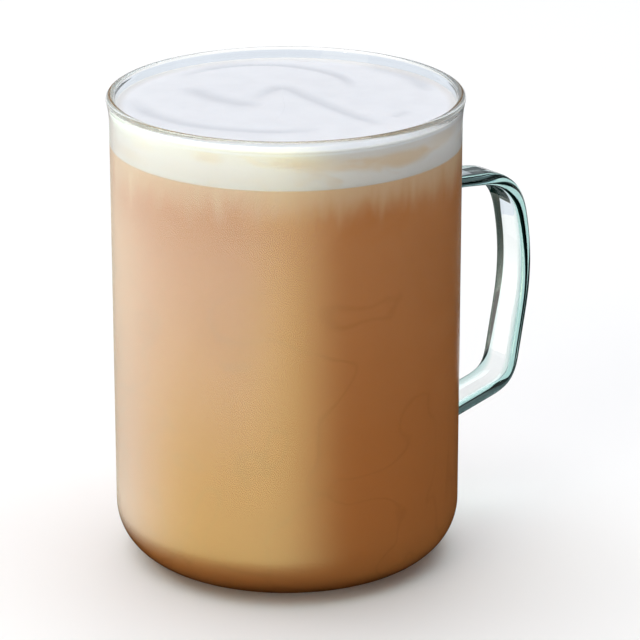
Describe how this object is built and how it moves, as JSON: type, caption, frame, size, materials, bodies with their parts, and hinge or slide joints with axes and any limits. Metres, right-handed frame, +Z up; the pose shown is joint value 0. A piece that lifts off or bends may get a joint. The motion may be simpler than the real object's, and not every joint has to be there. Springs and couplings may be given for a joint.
{
  "type": "latte in a glass mug",
  "caption": "Milky coffee under a layer of white milk foam in a straight clear glass mug with a strap handle.",
  "frame": {"origin": "centre of the mug's flat foot, on the table", "axes": "+Z up along the mug's axis, +X towards the handle, +Y to the left of the handle seen from above"},
  "size_m": [0.1167, 0.085, 0.115],
  "materials": {
    "glass": "clear, fire polished, faintly green at its edges",
    "coffee": "opaque milky coffee, wet",
    "foam": "fine wet milk foam, soft sheen"
  },
  "bodies": {
    "root": {"mug": "glass", "coffee": "coffee", "foam": "foam"}
  },
  "joints": []
}
